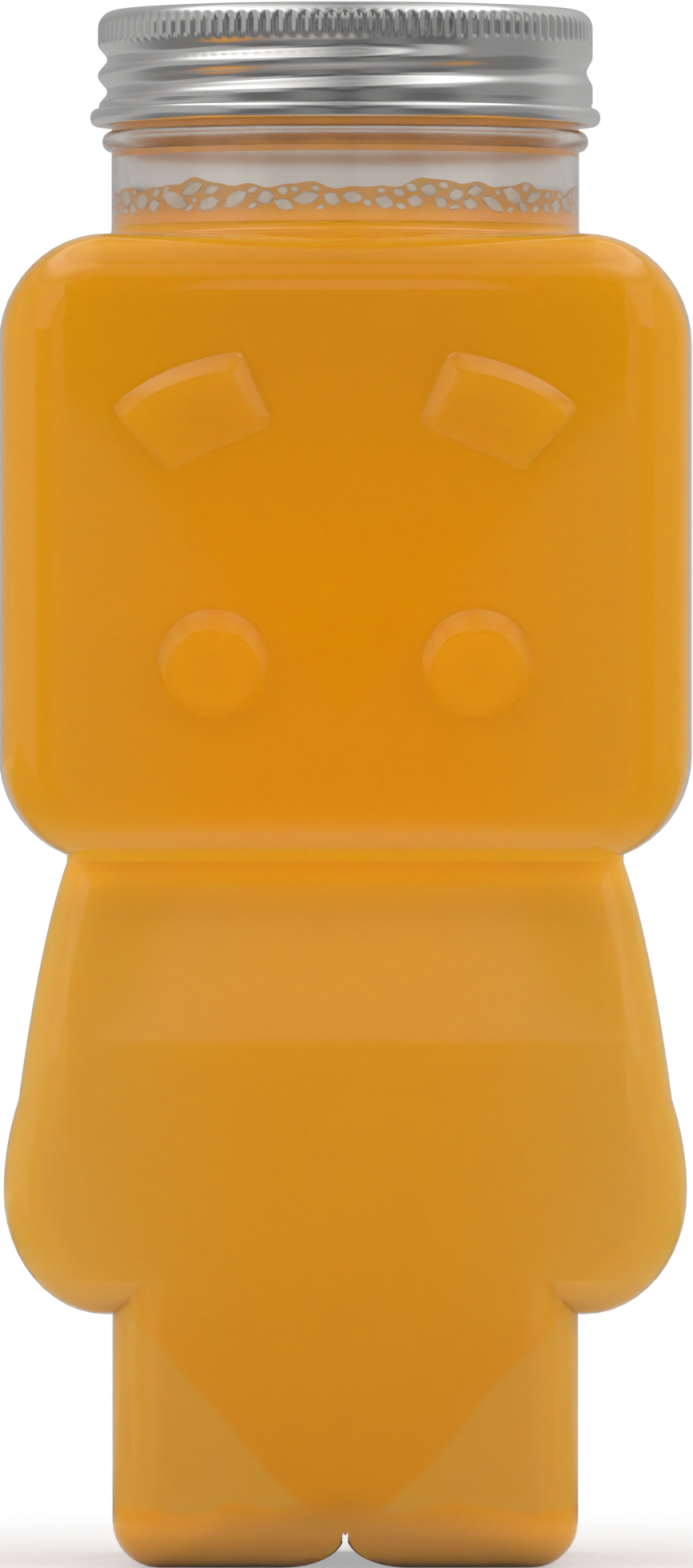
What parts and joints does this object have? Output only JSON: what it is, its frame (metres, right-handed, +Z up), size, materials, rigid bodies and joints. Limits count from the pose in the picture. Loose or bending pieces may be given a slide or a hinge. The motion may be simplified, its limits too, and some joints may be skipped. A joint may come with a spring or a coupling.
{
  "type": "robot-shaped drink bottle",
  "caption": "Robot-shaped clear plastic drink bottle with a square head, raised eyes and brows, orange juice inside and a knurled metal screw cap with a loose liner.",
  "frame": {"origin": "on the floor at the middle of the bottle's footprint, under the neck's axis", "axes": "+Z up along the neck's axis, the robot's face looks along -Y, +X to the viewer's right"},
  "size_m": [0.075, 0.064, 0.1679],
  "materials": {
    "clear_shell": "clear blow-moulded plastic, glossy",
    "orange_juice": "cloudy orange juice, wet",
    "juice_bubbles": "thin-walled juice bubbles, wet",
    "liner_foam": "white closed-cell foam, matte",
    "cap_metal": "satin drawn aluminium"
  },
  "bodies": {
    "bottle": {"bottle_shell": "clear_shell", "juice_fill": "orange_juice", "juice_froth": "juice_bubbles"},
    "liner": {"cap_liner": "liner_foam"},
    "cap": {"cap_shell": "cap_metal"}
  },
  "joints": [
    {"name": "cap_rise", "type": "slide", "parent": "bottle", "child": "liner", "axis": [0, 0, 1], "range_m": [0, 0.01269]},
    {"name": "cap_turn", "type": "hinge", "parent": "liner", "child": "cap", "pos_m": [0, 0, 0.1617], "axis": [0, 0, 1], "range_deg": [0, 1080]}
  ],
  "couplings": [
    {"joint": "cap_rise", "follows": "cap_turn", "m_per_rad": 0.00067322}
  ]
}
